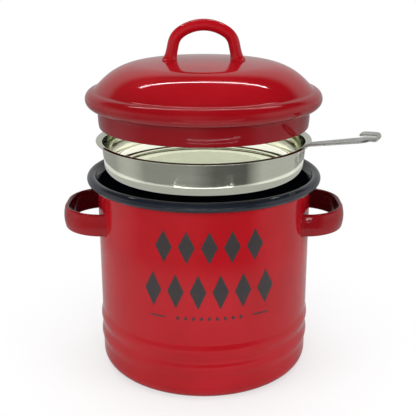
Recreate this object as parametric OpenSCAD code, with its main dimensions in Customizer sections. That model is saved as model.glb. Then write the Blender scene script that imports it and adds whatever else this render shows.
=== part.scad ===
// Enamelled bacon grease container: a rolled-rim canister with two strap handles, a lift-out
// stainless strainer with a flat hooked handle, and a domed lid with an arched grip.
// The strainer and the lid stand raised above the mouth, one over the other, as when they are
// lifted off. Lowered by strainer_raise and lid_raise they sit in the mouth.

/* [Canister] */
// Height from the base to the top of the rolled rim
canister_h = 126; // [110:1:150]
// Outside diameter of the plain wall
body_d = 133.4; // [120:0.2:150]
// Thickness of the steel wall with its red enamel
wall_t = 1; // [0.8:0.1:1.3]
// Thickness of the black enamel lining
lining_t = 0.5; // [0.4:0.1:0.7]
// Outside radius where the wall turns into the base
base_corner_r = 8; // [5:0.5:12]
// Radius of the round section of the rolled rim
roll_r = 2.95; // [2.8:0.05:3.4]
// How far the wall steps out below the rim, as a seat for the strainer
shoulder_w = 1.9; // [1.6:0.1:2.1]
// Depth of that seat below the top of the rim
seat_depth = 2; // [1.9:0.1:2.4]

/* [Ribs] */
// Number of raised ribs round the foot
rib_count = 2; // [1:1:3]
// Height of the lowest rib's middle above the base
rib_z = 21; // [18:0.5:26]
// Distance from rib to rib
rib_pitch = 11.3; // [11:0.1:14]
// Width of one rib
rib_w = 10.6; // [8:0.2:10.8]
// How far a rib stands proud of the wall
rib_h = 0.9; // [0.5:0.1:1.4]

/* [Side handles] */
// Height of the strap, measured along the wall
strap_h = 14; // [12:0.5:20]
// Thickness of the strap
strap_t = 3.6; // [3:0.1:4.4]
// How far the loop reaches out from the wall
loop_reach = 21.5; // [19:0.5:27]
// Outside width of the loop, front to back
loop_w = 62.5; // [56:0.5:74]
// Radius of the loop's corners, along the middle of the strap
loop_corner_r = 24; // [20:0.5:27]
// Distance from the top of the rim down to the top edge of the strap
strap_drop = 20.5; // [14:0.5:30]

/* [Strainer] */
// Thickness of the stainless sheet
sheet_t = 0.6; // [0.5:0.1:0.8]
// Gap between the strainer's flange and the mouth
flange_clear = 0.4; // [0.3:0.05:0.6]
// Radial width of the flange
flange_w = 4.1; // [3.8:0.1:4.8]
// Depth of the bowl below the flange
bowl_depth = 21; // [17:0.5:28]
// How much the bowl's wall draws in towards its floor
bowl_taper = 1.2; // [0.5:0.1:2.5]
// Radius between the bowl's wall and its floor
bowl_corner_r = 7; // [4:0.5:9]
// Radius of the perforated floor
screen_r = 47; // [36:0.5:48]
// Diameter of one drain hole
drain_d = 2.2; // [1.4:0.1:2.8]
// Distance from hole to hole
drain_pitch = 5; // [4.6:0.1:7]

/* [Strainer handle] */
// Angle of the handle round the mouth, from the right-hand side
handle_turn = -24; // [-30:1:20]
// Length of the bar from the rim's outer edge to its round end
bar_len = 32; // [26:0.5:42]
// Width of the bar where it leaves the flange
bar_root_w = 9; // [8:0.5:11]
// Width of the bar at its round end
bar_end_w = 13; // [11:0.5:15]
// Thickness of the bar
bar_t = 1.2; // [1:0.1:1.5]
// Upward slope of the bar, in degrees
bar_tilt = 10; // [6:0.5:12]
// Gap between the bar and the top of the rim when the strainer is down
rim_clear = 0.4; // [0.3:0.05:0.6]
// Distance from the bar's end to the middle of the hook's bend
hook_reach = 2; // [1.5:0.5:4]
// Width of the hook's tongue
hook_w = 8; // [6:0.5:10]
// Inside radius of the hook's bend
hook_r = 0.9; // [0.8:0.1:1.4]
// Length of the tongue that comes back over the bar
hook_back = 7; // [6:0.5:10]
// How far the bracket reaches down the bowl from the flange
bracket_h = 8; // [6:0.5:9]
// Width of the bracket
bracket_w = 11; // [9:0.5:13]
// Diameter of a spot weld's raised face
weld_d = 2.4; // [1.8:0.1:2.8]
// Height of a spot weld's raised face
weld_h = 0.3; // [0.2:0.05:0.4]

/* [Lid] */
// Thickness of the lid's steel with its red enamel
lid_t = 1.2; // [1:0.1:1.5]
// Height of the dome's top above the collar's lower edge
lid_h = 39.6; // [36:0.2:44]
// Radius of the nearly flat top of the dome, as a share of the body's radius
cap_share = 0.6; // [0.5:0.01:0.66]
// Slope of the dome at the edge of its flat top, in degrees
cap_slope = 6; // [4:0.5:9]
// Steepest slope of the dome, where it runs out to the edge bead, in degrees
flank_slope = 45; // [42:1:47]
// Radius of the dome's shoulder, from the flat top to the flank, as a share of the body's radius
shoulder_share = 0.555; // [0.5:0.005:0.6]
// Radius of the round section of the edge bead
bead_r = 5.3; // [4.8:0.1:5.8]
// How far the bead's outer edge stays inside the canister's rim
bead_inset = 0.9; // [0:0.1:1.5]
// Thickness of the collar's wall
collar_t = 1; // [0.8:0.1:1.3]
// Gap between the collar and the inside of the canister's wall
collar_clear = 0.4; // [0.3:0.05:0.7]
// Thickness of the enamel under the lid
lid_lining_t = 0.4; // [0.3:0.1:0.6]

/* [Lid grip] */
// Diameter of the grip's rod
rod_d = 7; // [6:0.25:8.5]
// Height of the grip above the dome's top
grip_h = 23.6; // [20:0.5:28]
// Radius of the arch along its top, to the middle of the rod
arch_top_r = 24; // [21:0.5:28]
// Radius of the arch at its shoulders, to the middle of the rod
arch_side_r = 11; // [9:0.5:13]
// Half the angle that the top arc spans
arch_top_angle = 35; // [30:1:40]
// Outward splay of the legs, in degrees
leg_splay = 12; // [8:1:18]
// Diameter of the flared feet
foot_d = 9; // [8.6:0.2:11]
// Height of the flare
foot_h = 5; // [3:0.5:7]

/* [Lifted parts] */
// How far the strainer stands above its seat in the mouth
strainer_raise = 22; // [22:0.5:60]
// How far the lid stands above the strainer's flange
lid_raise = 8.4; // [8:0.2:60]
// Gap left between a seated part and what it rests on
seat_gap = 0.3; // [0.25:0.05:0.5]

/* [Hidden] */
$fn = 96;

enamel_red = "firebrick";
enamel_black = "#1c1d20";
stainless = "lightgray";

// Straight pieces that an arc is drawn with
corner_steps = 8;
cap_steps = 5;
shoulder_steps = 10;
bead_steps = 20;
arch_side_steps = 6;
arch_top_steps = 12;
leg_steps = 8;
rod_sides = 24;

// Canister radii, from the outside in, and the mouth
wall_r = body_d / 2;
bore_r = wall_r - wall_t - lining_t;
mouth_r = bore_r + shoulder_w;
roll_c = [mouth_r + roll_r, canister_h - roll_r];
rim_r = mouth_r + 2 * roll_r;
seat_z = canister_h - seat_depth;
rib_arc_r = (rib_w * rib_w / 4 + rib_h * rib_h) / (2 * rib_h);
rib_half_angle = asin(rib_w / 2 / rib_arc_r);

// Strainer: its flange is a loose fit in the mouth and its height follows the seat
flange_r = mouth_r - flange_clear;
bowl_r = flange_r - flange_w;
bowl_floor_r = bowl_r - bowl_taper;
// The flange's lower edge meets the 45 degree seat flange_clear below the seat's top
strainer_z = seat_z - flange_clear + seat_gap * sqrt(2) + strainer_raise;
flange_top_z = strainer_z + sheet_t;
screen_z = flange_top_z - bowl_depth;

// Lid: its collar fits the bore and stands on the flange
collar_r = bore_r - collar_clear;
lid_z = flange_top_z + seat_gap + lid_raise;
cap_r = cap_share * wall_r;
shoulder_r = shoulder_share * wall_r;
cap_arc_r = cap_r / sin(cap_slope);
cap_edge_z = lid_h - cap_arc_r * (1 - cos(cap_slope));
flank_start = [
    cap_r + shoulder_r * (sin(flank_slope) - sin(cap_slope)),
    cap_edge_z - shoulder_r * (cos(cap_slope) - cos(flank_slope))
];

function flank_z(r) = flank_start[1] - (r - flank_start[0]) * tan(flank_slope);

// The bead hangs from the foot of the flank, which runs out over the middle of its top
bead_centre_r = rim_r - bead_inset - bead_r;
bead_c = [bead_centre_r, flank_z(bead_centre_r) - bead_r];

// Grip: centres of its arcs in the plane through the lid's axis
grip_top_z = lid_h + grip_h - rod_d / 2;
arch_top_c = [0, grip_top_z - arch_top_r];
arch_side_c = arch_top_c + (arch_top_r - arch_side_r) * [sin(arch_top_angle), cos(arch_top_angle)];
leg_top = arch_side_c + arch_side_r * [cos(leg_splay), sin(leg_splay)];

// Strainer handle heights, measured from the top of the flange with the strainer down
flange_drop = canister_h - (flange_top_z - strainer_raise);
bar_root_r = collar_r + seat_gap;
bar_rise_r = (flange_r + roll_c[0]) / 2;
bar_end_r = rim_r + bar_len;

function arc(c, r, from, to, steps) =
    [for (i = [0 : steps]) let (a = from + (to - from) * i / steps) c + r * [cos(a), sin(a)]];

// Outline of the canister's wall at a depth t inside its outer face, from the base's middle
// up to the seat
function rib_arc(z, t) =
    arc(
        [wall_r - t + rib_h - rib_arc_r, z], rib_arc_r,
        -rib_half_angle, rib_half_angle, corner_steps
    );
function wall_outline(t) = concat(
    [[0, t]],
    arc([wall_r - base_corner_r, base_corner_r], base_corner_r - t, -90, 0, corner_steps),
    [for (k = [0 : rib_count - 1]) each rib_arc(rib_z + k * rib_pitch, t)],
    [[wall_r - t, seat_z - shoulder_w], [wall_r - t + shoulder_w, seat_z]]
);
function reversed(list) = [for (i = [len(list) - 1 : -1 : 0]) list[i]];

// Outline of the dome at a depth t inside its outer face, from the top out to the bead
function dome_outline(t) = concat(
    arc([0, lid_h - cap_arc_r], cap_arc_r - t, 90, 90 - cap_slope, cap_steps),
    arc(
        flank_start - shoulder_r * [sin(flank_slope), cos(flank_slope)],
        shoulder_r - t, 90 - cap_slope, 90 - flank_slope, shoulder_steps
    ),
    [[bead_c[0], flank_z(bead_c[0]) - t / cos(flank_slope)]]
);

// Round outline of the bead from its top, out and under, to where it meets the collar
function bead_end_angle(r) = -acos((collar_r - bead_c[0]) / r);
function bead_outline(r) = arc(bead_c, r, 90, bead_end_angle(r), bead_steps);

module ring(section_c, outer_r, inner_r) {
    translate(section_c)
        difference() {
            circle(r = outer_r);
            circle(r = inner_r);
        }
}

// Part of the rolled rim that is left open below, beside the wall
module roll_slit() {
    translate([0, canister_h - 3 * roll_r])
        square([roll_c[0] - 0.2 * roll_r, 2 * roll_r]);
}

module wall_layer(from_t, to_t) {
    polygon(concat(wall_outline(from_t), reversed(wall_outline(to_t))));
}

module canister_shell() {
    color(enamel_red)
        rotate_extrude()
            union() {
                wall_layer(0, wall_t);
                difference() {
                    ring(roll_c, roll_r - lining_t, roll_r - lining_t - wall_t);
                    roll_slit();
                }
            }
}

module canister_lining() {
    color(enamel_black)
        rotate_extrude()
            union() {
                wall_layer(wall_t, wall_t + lining_t);
                difference() {
                    ring(roll_c, roll_r, roll_r - lining_t);
                    roll_slit();
                    wall_layer(0, wall_t);
                }
            }
}

// Round-edged cross-section of the strap: upright, centred on the origin
module strap_section() {
    for (side = [-1, 1])
        translate([0, side * (strap_h - strap_t) / 2])
            circle(d = strap_t);
    square([strap_t, strap_h - strap_t], center = true);
}

module strap_straight(length) {
    rotate([90, 0, 0])
        linear_extrude(length)
            strap_section();
}

// One side handle, reaching out along +X
module strap_loop() {
    outer_x = wall_r + loop_reach - strap_t / 2;
    corner_x = outer_x - loop_corner_r;
    leg_y = (loop_w - strap_t) / 2;
    corner_y = leg_y - loop_corner_r;
    root_x = wall_r / 2;
    color(enamel_red)
        translate([0, 0, canister_h - strap_drop - strap_h / 2])
            difference() {
                union() {
                    translate([outer_x, corner_y, 0])
                        strap_straight(2 * corner_y);
                    for (side = [-1, 1]) {
                        translate([corner_x, side * corner_y, 0])
                            rotate([0, 0, side < 0 ? -90 : 0])
                                rotate_extrude(angle = 90)
                                    translate([loop_corner_r, 0])
                                        strap_section();
                        translate([root_x, side * leg_y, 0])
                            rotate([0, 0, 90])
                                strap_straight(corner_x - root_x);
                    }
                }
                cylinder(r = wall_r, h = 2 * strap_h, center = true);
            }
}

module right_handle() {
    strap_loop();
}

module left_handle() {
    mirror([1, 0, 0])
        strap_loop();
}

module strainer_bowl() {
    corner_c = [bowl_floor_r + sheet_t - bowl_corner_r, bowl_corner_r];
    color(stainless)
        translate([0, 0, screen_z])
            rotate_extrude()
                polygon(concat(
                    [[screen_r, 0]],
                    arc(corner_c, bowl_corner_r, -90, 0, corner_steps),
                    [[bowl_r + sheet_t, bowl_depth - sheet_t], [flange_r, bowl_depth - sheet_t]],
                    [[flange_r, bowl_depth], [bowl_r, bowl_depth]],
                    arc(corner_c, bowl_corner_r - sheet_t, 0, -90, corner_steps),
                    [[screen_r, sheet_t]]
                ));
}

module strainer_screen() {
    rows = floor(screen_r / (drain_pitch * sin(60)));
    columns = ceil(screen_r / drain_pitch);
    color(stainless)
        translate([0, 0, screen_z])
            linear_extrude(sheet_t)
                difference() {
                    circle(r = screen_r);
                    for (row = [-rows : rows], column = [-columns : columns]) {
                        hole = drain_pitch * [column + (row % 2 == 0 ? 0 : 0.5), row * sin(60)];
                        if (norm(hole) < screen_r - drain_d)
                            translate(hole)
                                circle(d = drain_d);
                    }
                }
}

// Lower face of the bar, in height above the flange, at a radius beyond the rim's crown
function bar_z(r) = flange_drop + rim_clear + (r - roll_c[0]) * tan(bar_tilt);

module bar_side() {
    polygon([
        [bar_root_r, 0], [flange_r, 0],
        [bar_rise_r, bar_z(bar_rise_r)], [bar_end_r, bar_z(bar_end_r)],
        [bar_end_r, bar_z(bar_end_r) + bar_t], [bar_rise_r - bar_t / 2, bar_z(bar_rise_r) + bar_t],
        [bar_root_r, bar_t]
    ]);
}

module bar_plan() {
    end_c = bar_end_r - bar_end_w / 2;
    translate([end_c, 0])
        circle(d = bar_end_w);
    polygon([
        [bar_root_r, -bar_root_w / 2], [end_c, -bar_end_w / 2],
        [end_c, bar_end_w / 2], [bar_root_r, bar_root_w / 2]
    ]);
}

// Side view of the tongue: out from the bar's end, round the bend and back over the bar
module hook_side() {
    bend_c = [bar_end_r + hook_reach, bar_z(bar_end_r) + bar_t + hook_r];
    bend_r = hook_r + bar_t;
    difference() {
        ring(bend_c, bend_r, hook_r);
        translate(bend_c - [bend_r, bend_r])
            square([bend_r, 2 * bend_r]);
    }
    translate([bar_end_r - hook_reach, bar_z(bar_end_r)])
        square([2 * hook_reach, bar_t]);
    translate([bar_end_r - hook_back, bend_c[1] + hook_r])
        square([hook_back + hook_reach, bar_t]);
}

module across(width) {
    rotate([90, 0, 0])
        linear_extrude(width, center = true)
            children();
}

module at_handle() {
    translate([0, 0, flange_top_z])
        rotate([0, 0, handle_turn])
            children();
}

module strainer_handle() {
    color(stainless)
        at_handle()
            union() {
                intersection() {
                    across(2 * bar_end_w)
                        bar_side();
                    linear_extrude(canister_h)
                        bar_plan();
                }
                across(hook_w)
                    hook_side();
            }
}

// Radius of the bowl's outer face at a depth below the flange's underside
function bowl_face_r(depth) = bowl_r + sheet_t - bowl_taper * depth / (bowl_depth - bowl_corner_r - sheet_t);

// Layer of plate that follows the bowl's wall, from one distance outside it to another
module plate_layer(from_t, to_t) {
    mirror([0, 0, 1])
        rotate_extrude()
            polygon([
                [bowl_face_r(0) + from_t, 0], [bowl_face_r(0) + to_t, 0],
                [bowl_face_r(bracket_h) + to_t, bracket_h], [bowl_face_r(bracket_h) + from_t, bracket_h]
            ]);
}

// Plate under the flange, behind the handle, curved to the bowl's wall
module strainer_bracket() {
    color(stainless)
        at_handle()
            translate([0, 0, -sheet_t])
                intersection() {
                    plate_layer(0, bar_t);
                    translate([0, -bracket_w / 2, -bracket_h])
                        cube([rim_r, bracket_w, bracket_h]);
                }
}

module strainer_welds() {
    face_r = bowl_face_r(bracket_h / 2) + bar_t;
    color(stainless)
        at_handle()
            translate([0, 0, -sheet_t])
                for (side = [-1, 1])
                    intersection() {
                        plate_layer(bar_t, bar_t + weld_h);
                        rotate([0, 0, side * asin(bracket_w / 4 / face_r)])
                            translate([0, 0, -bracket_h / 2])
                                rotate([0, 90, 0])
                                    cylinder(d = weld_d, h = rim_r);
                    }
}

module lid_shell() {
    color(enamel_red)
        translate([0, 0, lid_z])
            rotate_extrude()
                polygon(concat(
                    dome_outline(0), bead_outline(bead_r),
                    reversed(bead_outline(bead_r - lid_t)), reversed(dome_outline(lid_t))
                ));
}

module lid_lining() {
    color(enamel_black)
        translate([0, 0, lid_z])
            rotate_extrude()
                intersection() {
                    polygon(concat(dome_outline(lid_t), reversed(dome_outline(lid_t + lid_lining_t))));
                    square([collar_r - collar_t, lid_h]);
                }
}

function dome_under_z(r) = flank_z(r) - lid_t / cos(flank_slope);

module lid_collar() {
    inner_r = collar_r - collar_t;
    color(enamel_red)
        translate([0, 0, lid_z])
            rotate_extrude()
                polygon([
                    [inner_r, 0], [collar_r, 0],
                    [collar_r, dome_under_z(collar_r)], [inner_r, dome_under_z(inner_r)]
                ]);
}

// Stations along the grip's rod, from the right foot over the arch to the left foot. Each is
// [x, z, turn of the cross-section, radius of the cross-section].
function leg_station(x_sign, run) = let (
        at = leg_top + run * [sin(leg_splay), -cos(leg_splay)],
        flare = max(0, run - leg_run + foot_h) / foot_h
    ) [
        x_sign * at[0], at[1], x_sign > 0 ? leg_splay : 180 - leg_splay,
        rod_d / 2 + (foot_d - rod_d) / 2 * flare * flare
    ];
function arc_stations(c, r, from, to, steps) =
    [for (i = [1 : steps]) let (a = from + (to - from) * i / steps)
        [c[0] + r * cos(a), c[1] + r * sin(a), a, rod_d / 2]];
leg_run = (leg_top[1] - dome_top_z(leg_top[0] + rod_d / 2)) / cos(leg_splay);
side_arc_end = 90 - arch_top_angle;
grip_stations = concat(
    [for (i = [leg_steps : -1 : 0]) leg_station(1, leg_run * i / leg_steps)],
    arc_stations(arch_side_c, arch_side_r, leg_splay, side_arc_end, arch_side_steps),
    arc_stations(arch_top_c, arch_top_r, side_arc_end, 180 - side_arc_end, arch_top_steps),
    arc_stations(
        [-arch_side_c[0], arch_side_c[1]], arch_side_r,
        180 - side_arc_end, 180 - leg_splay, arch_side_steps
    ),
    [for (i = [1 : leg_steps]) leg_station(-1, leg_run * i / leg_steps)]
);

// Height of the dome's flat top at a radius from the lid's axis
function dome_top_z(r) = lid_h - cap_arc_r + sqrt(cap_arc_r * cap_arc_r - r * r);

function rod_ring(s) = [for (k = [0 : rod_sides - 1]) let (b = 360 * k / rod_sides)
    [s[0] + s[3] * cos(b) * cos(s[2]), s[3] * sin(b), s[1] + s[3] * cos(b) * sin(s[2])]];

// A foot's lowest ring is laid on the dome
function on_dome(ring) = [for (v = ring) [v[0], v[1], dome_top_z(norm([v[0], v[1]]))]];

module lid_handle() {
    last = len(grip_stations) - 1;
    rings = [for (i = [0 : last]) let (ring = rod_ring(grip_stations[i]))
        i == 0 || i == last ? on_dome(ring) : ring];
    sides = [for (i = [0 : last - 1], k = [0 : rod_sides - 1]) let (
            here = i * rod_sides, next = (i + 1) * rod_sides, k2 = (k + 1) % rod_sides
        ) each [[here + k, here + k2, next + k2], [here + k, next + k2, next + k]]];
    caps = [for (k = [1 : rod_sides - 2]) each [
        [0, k + 1, k], [last * rod_sides, last * rod_sides + k, last * rod_sides + k + 1]
    ]];
    color(enamel_red)
        translate([0, 0, lid_z])
            polyhedron(points = [for (ring = rings) each ring], faces = concat(sides, caps));
}

canister_shell();
canister_lining();
left_handle();
right_handle();
strainer_bowl();
strainer_screen();
strainer_handle();
strainer_bracket();
strainer_welds();
lid_shell();
lid_lining();
lid_collar();
lid_handle();
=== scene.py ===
"""Enamelled grease container: rolled-rim canister, lift-out strainer and domed lid, shown lifted apart."""
from math import atan2, cos, degrees, hypot, pi, radians, sin, sqrt, tan, tau

import bpy
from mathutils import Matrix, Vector


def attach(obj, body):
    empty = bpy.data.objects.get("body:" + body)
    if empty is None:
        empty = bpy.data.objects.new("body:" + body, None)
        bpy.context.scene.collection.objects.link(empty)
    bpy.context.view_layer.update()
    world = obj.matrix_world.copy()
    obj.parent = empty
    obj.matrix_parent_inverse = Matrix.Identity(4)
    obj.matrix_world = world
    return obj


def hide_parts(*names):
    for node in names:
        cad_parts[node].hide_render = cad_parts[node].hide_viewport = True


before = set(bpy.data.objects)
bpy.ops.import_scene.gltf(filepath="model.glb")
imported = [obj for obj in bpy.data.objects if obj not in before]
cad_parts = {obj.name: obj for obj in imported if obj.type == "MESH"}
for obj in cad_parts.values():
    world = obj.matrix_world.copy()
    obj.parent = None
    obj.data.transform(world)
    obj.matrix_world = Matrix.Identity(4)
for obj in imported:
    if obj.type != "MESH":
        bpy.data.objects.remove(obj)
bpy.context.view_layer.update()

# ---------------------------------------------------------------- sizes, in millimetres
MM = 0.001
AROUND = 192                    # steps round a spun piece
WELD = 0.004 * MM               # points closer than this become one
SMOOTH_ANGLE = 40               # edges sharper than this, in degrees, stay sharp

# Canister
CANISTER_H = 126.0
WALL_R = 66.7
WALL_T = 1.0
LINING_T = 0.5
BASE_CORNER_R = 8.0
BASE_RECESS = 1.0
ROLL_R = 2.95
BORE_R = WALL_R - WALL_T - LINING_T
MOUTH_R = BORE_R + 1.9
ROLL_CENTRE = (MOUTH_R + ROLL_R, CANISTER_H - ROLL_R)
RIM_R = MOUTH_R + 2 * ROLL_R
SEAT_Z = CANISTER_H - 2.0
RIB_HEIGHTS = (20.6, 32.3)
RIB_W = 12.2
RIB_H = 0.9

# Side handles
STRAP_H = 14.0
STRAP_T = 3.6
STRAP_CROWN = 0.7
STRAP_HOLLOW = 0.7
STRAP_Z = CANISTER_H - 20.5 - STRAP_H / 2
LOOP_OUTER_X = WALL_R + 21.5 - STRAP_T / 2
LOOP_CORNER_R = 24.0
LOOP_LEG_Y = (62.5 - STRAP_T) / 2
FLARE_RUN = 3.4
# Steps of the weld flare: (distance in towards the wall, growth in thickness, growth in height)
STRAP_FLARE = ((1.4, 1.03, 1.01), (1.0, 1.07, 1.02), (0.8, 1.12, 1.03), (0.6, 1.16, 1.04))
STRAP_SINK = 8.0

# Strainer, raised above the mouth
SHEET_T = 0.6
FLANGE_R = MOUTH_R - 0.4
BOWL_R = FLANGE_R - 4.1
BOWL_FLOOR_R = BOWL_R - 1.2
BOWL_DEPTH = 21.0
BOWL_CORNER_R = 7.0
SCREEN_R = 47.0
HOLE_PITCH = 1.6
HOLE_R = 0.47
STRAINER_RAISE = 22.0
FLANGE_TOP_Z = SEAT_Z - 0.4 + 0.3 * sqrt(2) + STRAINER_RAISE + SHEET_T
SCREEN_Z = FLANGE_TOP_Z - BOWL_DEPTH

# Strainer handle
HANDLE_TURN = radians(-24.0)
BAR_T = 1.2
BAR_TILT = radians(10.0)
BAR_END_R = RIM_R + 32.0
BAR_ROOT_W = 9.0
BAR_END_W = 13.0
BAR_CLEAR = 0.4
GROOVE_MIN = 0.02
GROOVE_DEPTH = 0.55
HOOK_REACH = 2.0
HOOK_R = 0.9
HOOK_W = 8.0
# The hook's tongue: (distance back from the bend, drop, half width)
TONGUE = ((2.2, 0.0, 4.1), (4.4, -0.1, 4.3), (6.6, -0.2, 4.4), (8.2, -0.4, 4.0), (8.9, -0.5, 3.0))

# Lid, raised above the strainer
LID_T = 1.2
LID_Z = FLANGE_TOP_Z + 0.3 + 8.4
LID_H = 39.6
CAP_R = 0.6 * WALL_R
CAP_SLOPE = radians(6.0)
FLANK_SLOPE = radians(45.0)
SHOULDER_R = 0.555 * WALL_R
BEAD_R = 5.3
BEAD_CENTRE_R = RIM_R - 0.9 - BEAD_R
VALLEY_R = 3.2
COLLAR_R = BORE_R - 0.4
COLLAR_T = 1.0
COLLAR_BULGE = 0.45

# Lid grip
ROD_R = 3.5
GRIP_TOP_Z = LID_H + 23.6 - ROD_R
ARCH_TOP_R = 24.0
ARCH_SIDE_R = 11.0
ARCH_TOP_ANGLE = radians(35.0)
LEG_SPLAY = radians(12.0)
# The leg's shares, and the rod's radius there: straight, then flared into its foot and the weld round it
LEG_FLARE = ((0.4, ROD_R), (0.62, 3.62), (0.78, 3.85), (0.9, 4.15), (0.97, 4.55), (1.0, 5.0))
FOOT_SINK = 0.5

# Ornament printed on the front
PRINT_T = 0.04
ORNAMENT_X = 3.4
# Each row is (lozenges, height above the base, width of one, height of one, distance apart)
ORNAMENT_ROWS = ((5, 98.2, 9.6, 19.5, 13.0), (6, 71.0, 9.6, 21.5, 13.0), (9, 54.3, 2.2, 3.0, 4.6))
RULE_X = 30.0
RULE_SIZE = (9.0, 0.9)


# ---------------------------------------------------------------- outlines
def arc(centre, radius, start, end, steps):
    """Points on an arc in a piece's outline plane, from one angle in degrees to another."""
    angles = [radians(start + (end - start) * i / steps) for i in range(steps + 1)]
    return [(centre[0] + radius * cos(a), centre[1] + radius * sin(a)) for a in angles]


def raised(points, height):
    """The outline's points, moved up by a height."""
    return [(r, z + height) for r, z in points]


def rib_bulge(z):
    """How far the wall stands proud at a height: a row of low rounded ribs with soft valleys."""
    total = 0.0
    for middle in RIB_HEIGHTS:
        if abs(z - middle) < RIB_W / 2:
            total += RIB_H * (1 + cos(tau * (z - middle) / RIB_W)) / 2
    return total


def wall_outline():
    """The red wall from the middle of the base, up the outside, and back down inside it."""
    rib_steps = 90
    low = RIB_HEIGHTS[0] - RIB_W
    high = RIB_HEIGHTS[-1] + RIB_W
    ribs = [low + (high - low) * i / rib_steps for i in range(rib_steps + 1)]
    corner = (WALL_R - BASE_CORNER_R, BASE_CORNER_R)
    foot_r = WALL_R - BASE_CORNER_R - 2.0
    return (
        [(0, BASE_RECESS), (foot_r - 3.0, BASE_RECESS), (foot_r - 1.5, BASE_RECESS * 0.6), (foot_r, 0)]
        + arc(corner, BASE_CORNER_R, -90, 0, 16)
        + [(WALL_R + rib_bulge(z), z) for z in ribs]
        + [(WALL_R, 60.0), (WALL_R, 90.0), (WALL_R, SEAT_Z - 4.5)]
        + [(WALL_R + 0.25, SEAT_Z - 3.2), (WALL_R + 0.8, SEAT_Z - 2.2), (WALL_R + 1.6, SEAT_Z - 1.4)]
        + [(WALL_R + 0.6, SEAT_Z - 1.4), (WALL_R - WALL_T, SEAT_Z - 2.9), (WALL_R - WALL_T, BASE_CORNER_R)]
        + arc(corner, BASE_CORNER_R - WALL_T, 0, -90, 12)
        + [(foot_r, WALL_T), (0, BASE_RECESS + 0.4)]
    )


def lining_outline():
    """The black lining from the middle of the floor up to the rolled rim, and back down outside."""
    depth = WALL_T + LINING_T
    corner = (WALL_R - BASE_CORNER_R, BASE_CORNER_R)
    return (
        [(0, BASE_RECESS + depth)]
        + arc(corner, BASE_CORNER_R - depth, -90, 0, 14)
        + [(BORE_R, SEAT_Z - 2.4), (BORE_R + 0.15, SEAT_Z - 2.0), (MOUTH_R - 0.2, SEAT_Z - 0.25)]
        + arc(ROLL_CENTRE, ROLL_R, 160, -140, 40)
        + [(WALL_R + 0.9, SEAT_Z - 2.6), (BORE_R + 0.7, SEAT_Z - 4.0), (BORE_R + 0.6, BASE_CORNER_R)]
        + arc(corner, BASE_CORNER_R - depth + 0.6, 0, -90, 10)
        + [(0, BASE_RECESS + depth - 0.6)]
    )


def bowl_outline():
    """The strainer's sheet: floor ring, rounded corner, wall and flange, out and back."""
    corner = (BOWL_FLOOR_R + SHEET_T - BOWL_CORNER_R, BOWL_CORNER_R)
    top = BOWL_DEPTH
    edge = SHEET_T / 2
    outside = (
        [(SCREEN_R, 0)]
        + arc(corner, BOWL_CORNER_R, -90, 0, 18)
        + [(BOWL_R + SHEET_T - 0.15, top - 3.0)]
        + arc((BOWL_R + SHEET_T + 1.0, top - SHEET_T - 1.0), 1.0, 180, 90, 6)
        + arc((FLANGE_R - edge, top - edge), edge, -90, 90, 8)
    )
    inside = (
        arc((BOWL_R + 1.5, top - 1.5), 1.5, 90, 180, 8)
        + [(BOWL_R - 0.15, top - 3.0)]
        + arc(corner, BOWL_CORNER_R - SHEET_T, 0, -90, 18)
        + [(SCREEN_R, SHEET_T)]
    )
    return raised(outside + inside, SCREEN_Z)


CAP_ARC_R = CAP_R / sin(CAP_SLOPE)
CAP_EDGE_Z = LID_H - CAP_ARC_R * (1 - cos(CAP_SLOPE))
SHOULDER_CENTRE = (CAP_R - SHOULDER_R * sin(CAP_SLOPE), CAP_EDGE_Z - SHOULDER_R * cos(CAP_SLOPE))
FLANK_START = (
    SHOULDER_CENTRE[0] + SHOULDER_R * sin(FLANK_SLOPE),
    SHOULDER_CENTRE[1] + SHOULDER_R * cos(FLANK_SLOPE),
)


def flank_z(r):
    """Height of the dome's straight flank at a radius, carried on past its ends."""
    return FLANK_START[1] - (r - FLANK_START[0]) * tan(FLANK_SLOPE)


BEAD_CENTRE = (BEAD_CENTRE_R, flank_z(BEAD_CENTRE_R) - BEAD_R)


def dome_top(depth):
    """Outline of the dome at a depth inside its face, from its middle to the foot of the shoulder."""
    cap = arc((0, LID_H - CAP_ARC_R), CAP_ARC_R - depth, 90, 90 - degrees(CAP_SLOPE), 10)
    shoulder = arc(
        SHOULDER_CENTRE, SHOULDER_R - depth,
        90 - degrees(CAP_SLOPE), 90 - degrees(FLANK_SLOPE), 24,
    )
    return cap[:-1] + shoulder


def valley():
    """Concave arc that leads from the straight flank into the bead's round top."""
    # Its centre lies VALLEY_R outside the flank and VALLEY_R outside the bead
    normal = Vector((sin(FLANK_SLOPE), cos(FLANK_SLOPE)))
    along = Vector((cos(FLANK_SLOPE), -sin(FLANK_SLOPE)))
    bead = Vector(BEAD_CENTRE)
    start = Vector(FLANK_START) + VALLEY_R * normal
    reach = (bead - start).dot(along)
    off = (bead - start).dot(normal)
    run = reach - sqrt(max((BEAD_R + VALLEY_R) ** 2 - off ** 2, 0))
    centre = start + run * along
    to_bead = bead - centre
    first = degrees(atan2(-normal.y, -normal.x))
    last = degrees(atan2(to_bead.y, to_bead.x))
    bead_start = degrees(atan2(-to_bead.y, -to_bead.x))
    return arc(centre, VALLEY_R, first, last, 10), bead_start


def lid_outline():
    """The dome, its valley and the round bead, down to the neck, and back along the underside."""
    dip, bead_start = valley()
    neck_angle = -112.0
    return raised(
        dome_top(0) + dip
        + arc(BEAD_CENTRE, BEAD_R, bead_start, neck_angle, 44)[1:]
        + [(COLLAR_R - 0.2, BEAD_CENTRE[1] - BEAD_R + 1.2)]
        + [(COLLAR_R - COLLAR_T, BEAD_CENTRE[1] - BEAD_R + 2.6)]
        + [(COLLAR_R - COLLAR_T, flank_z(COLLAR_R - COLLAR_T) - 1.6)]
        + dome_top(LID_T)[::-1],
        LID_Z,
    )


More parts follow.
